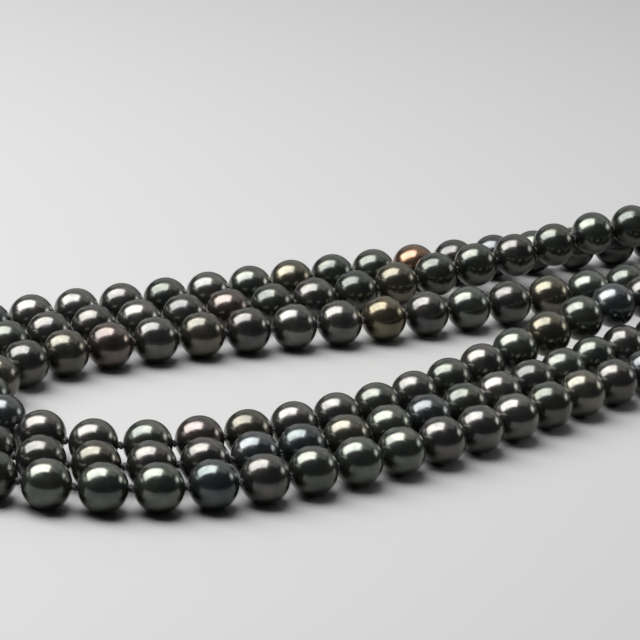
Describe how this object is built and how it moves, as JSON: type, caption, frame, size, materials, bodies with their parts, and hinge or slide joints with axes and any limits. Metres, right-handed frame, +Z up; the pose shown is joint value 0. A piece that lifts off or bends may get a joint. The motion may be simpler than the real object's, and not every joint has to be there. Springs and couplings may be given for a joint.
{
  "type": "pearl necklace",
  "caption": "Three-row necklace of round dark pearls on knotted silk, lying open on a table in a long bend, with a multi-row box clasp.",
  "frame": {"origin": "on the surface that the necklace lies on, under the middle of its laid-out box", "axes": "+Z up off the table; +X the long way, from the closed bend towards the open clasp ends"},
  "size_m": [0.2112, 0.1756, 0.0138],
  "materials": {
    "pearl": "gloss",
    "silk": "satin",
    "sleeve_wire": "satin",
    "ring_wire": "gloss",
    "clasp_metal": "gloss",
    "spring_metal": "satin"
  },
  "bodies": {
    "bend": {"bend_inner_pearls": "pearl", "bend_inner_silk": "silk", "bend_middle_pearls": "pearl", "bend_middle_silk": "silk", "bend_outer_pearls": "pearl", "bend_outer_silk": "silk"},
    "far_arm_middle": {"far_arm_middle_pearls": "pearl", "far_arm_middle_silk": "silk"},
    "far_end_middle": {"far_end_middle_pearls": "pearl", "far_end_middle_silk": "silk", "far_end_middle_loop": "sleeve_wire"},
    "far_arm_inner": {"far_arm_inner_pearls": "pearl", "far_arm_inner_silk": "silk"},
    "far_end_inner": {"far_end_inner_pearls": "pearl", "far_end_inner_silk": "silk", "far_end_inner_loop": "sleeve_wire"},
    "far_arm_outer": {"far_arm_outer_pearls": "pearl", "far_arm_outer_silk": "silk"},
    "far_end_outer": {"far_end_outer_pearls": "pearl", "far_end_outer_silk": "silk", "far_end_outer_loop": "sleeve_wire"},
    "far_rings": {"far_jump_rings": "ring_wire"},
    "box_half": {"box_shell": "clasp_metal", "box_cover": "clasp_metal", "box_eyes": "ring_wire", "safety_pin": "clasp_metal"},
    "safety_catch": {"safety_arm": "clasp_metal"},
    "near_arm_middle": {"near_arm_middle_pearls": "pearl", "near_arm_middle_silk": "silk"},
    "near_end_middle": {"near_end_middle_pearls": "pearl", "near_end_middle_silk": "silk", "near_end_middle_loop": "sleeve_wire"},
    "near_arm_inner": {"near_arm_inner_pearls": "pearl", "near_arm_inner_silk": "silk"},
    "near_end_inner": {"near_end_inner_pearls": "pearl", "near_end_inner_silk": "silk", "near_end_inner_loop": "sleeve_wire"},
    "near_arm_outer": {"near_arm_outer_pearls": "pearl", "near_arm_outer_silk": "silk"},
    "near_end_outer": {"near_end_outer_pearls": "pearl", "near_end_outer_silk": "silk", "near_end_outer_loop": "sleeve_wire"},
    "near_rings": {"near_jump_rings": "ring_wire"},
    "tongue_half": {"tongue_plate": "clasp_metal", "tongue_eyes": "ring_wire", "tongue_leaf": "spring_metal", "safety_stud": "clasp_metal"},
    "spring_leaf": {"tongue_spring": "spring_metal"}
  },
  "joints": [
    {"name": "far_middle_swing", "type": "hinge", "parent": "bend", "child": "far_arm_middle", "pos_m": [-0.04196, -0.00177, 0.00397], "axis": [0, 0, 1], "range_deg": [-3, 10]},
    {"name": "far_middle_lift", "type": "hinge", "parent": "far_arm_middle", "child": "far_end_middle", "pos_m": [0.06209, 0.05968, 0.0042], "axis": [0.4067, -0.9135, 0], "range_deg": [0, 15]},
    {"name": "far_inner_swing", "type": "hinge", "parent": "bend", "child": "far_arm_inner", "pos_m": [-0.03796, -0.01063, 0.004], "axis": [0, 0, 1], "range_deg": [-3, 10]},
    {"name": "far_inner_lift", "type": "hinge", "parent": "far_arm_inner", "child": "far_end_inner", "pos_m": [0.06578, 0.05155, 0.004], "axis": [0.4067, -0.9135, 0], "range_deg": [0, 15]},
    {"name": "far_outer_swing", "type": "hinge", "parent": "bend", "child": "far_arm_outer", "pos_m": [-0.04615, 0.00623, 0.004], "axis": [0, 0, 1], "range_deg": [-3, 10]},
    {"name": "far_outer_lift", "type": "hinge", "parent": "far_arm_outer", "child": "far_end_outer", "pos_m": [0.05867, 0.06744, 0.004], "axis": [0.4067, -0.9135, 0], "range_deg": [0, 15]},
    {"name": "far_rings_turn", "type": "hinge", "parent": "far_end_middle", "child": "far_rings", "pos_m": [0.08135, 0.06827, 0.004], "axis": [0, 0, 1], "range_deg": [-10, 3]},
    {"name": "box_half_tilt", "type": "hinge", "parent": "far_rings", "child": "box_half", "pos_m": [0.08355, 0.06925, 0.004], "axis": [0.4067, -0.9135, 0], "range_deg": [0, 60]},
    {"name": "safety_arm_swing", "type": "hinge", "parent": "box_half", "child": "safety_catch", "pos_m": [0.08159, 0.08261, 0.003], "axis": [0.4067, -0.9135, 0], "range_deg": [0, 110]},
    {"name": "near_middle_swing", "type": "hinge", "parent": "bend", "child": "near_arm_middle", "pos_m": [-0.03429, -0.06447, 0.004], "axis": [0, 0, 1], "range_deg": [-10, 3]},
    {"name": "near_middle_lift", "type": "hinge", "parent": "near_arm_middle", "child": "near_end_middle", "pos_m": [0.07012, 0.02521, 0.004], "axis": [0.2756, -0.9613, 0], "range_deg": [0, 15]},
    {"name": "near_inner_swing", "type": "hinge", "parent": "bend", "child": "near_arm_inner", "pos_m": [-0.03592, -0.05571, 0.00401], "axis": [0, 0, 1], "range_deg": [-10, 3]},
    {"name": "near_inner_lift", "type": "hinge", "parent": "near_arm_inner", "child": "near_end_inner", "pos_m": [0.06785, 0.03339, 0.0041], "axis": [0.2756, -0.9613, 0], "range_deg": [0, 15]},
    {"name": "near_outer_swing", "type": "hinge", "parent": "bend", "child": "near_arm_outer", "pos_m": [-0.03236, -0.07306, 0.004], "axis": [0, 0, 1], "range_deg": [-10, 3]},
    {"name": "near_outer_lift", "type": "hinge", "parent": "near_arm_outer", "child": "near_end_outer", "pos_m": [0.07269, 0.0164, 0.004], "axis": [0.2756, -0.9613, 0], "range_deg": [0, 15]},
    {"name": "near_rings_turn", "type": "hinge", "parent": "near_end_middle", "child": "near_rings", "pos_m": [0.09034, 0.03122, 0.004], "axis": [0, 0, 1], "range_deg": [-3, 10]},
    {"name": "tongue_half_tilt", "type": "hinge", "parent": "near_rings", "child": "tongue_half", "pos_m": [0.09265, 0.03188, 0.004], "axis": [0.2756, -0.9613, 0], "range_deg": [0, 60]},
    {"name": "tongue_press", "type": "hinge", "parent": "tongue_half", "child": "spring_leaf", "pos_m": [0.10327, 0.03493, 0.00342], "axis": [0.2756, -0.9613, 0], "range_deg": [0, 7], "stiffness_Nm_per_rad": 0.05}
  ],
  "couplings": [
    {"joint": "far_inner_swing", "follows": "far_middle_swing", "ratio": 1},
    {"joint": "far_inner_lift", "follows": "far_middle_lift", "ratio": 1},
    {"joint": "far_outer_swing", "follows": "far_middle_swing", "ratio": 1},
    {"joint": "far_outer_lift", "follows": "far_middle_lift", "ratio": 1},
    {"joint": "far_rings_turn", "follows": "far_middle_swing", "ratio": -1},
    {"joint": "near_inner_swing", "follows": "near_middle_swing", "ratio": 1},
    {"joint": "near_inner_lift", "follows": "near_middle_lift", "ratio": 1},
    {"joint": "near_outer_swing", "follows": "near_middle_swing", "ratio": 1},
    {"joint": "near_outer_lift", "follows": "near_middle_lift", "ratio": 1},
    {"joint": "near_rings_turn", "follows": "near_middle_swing", "ratio": -1}
  ]
}
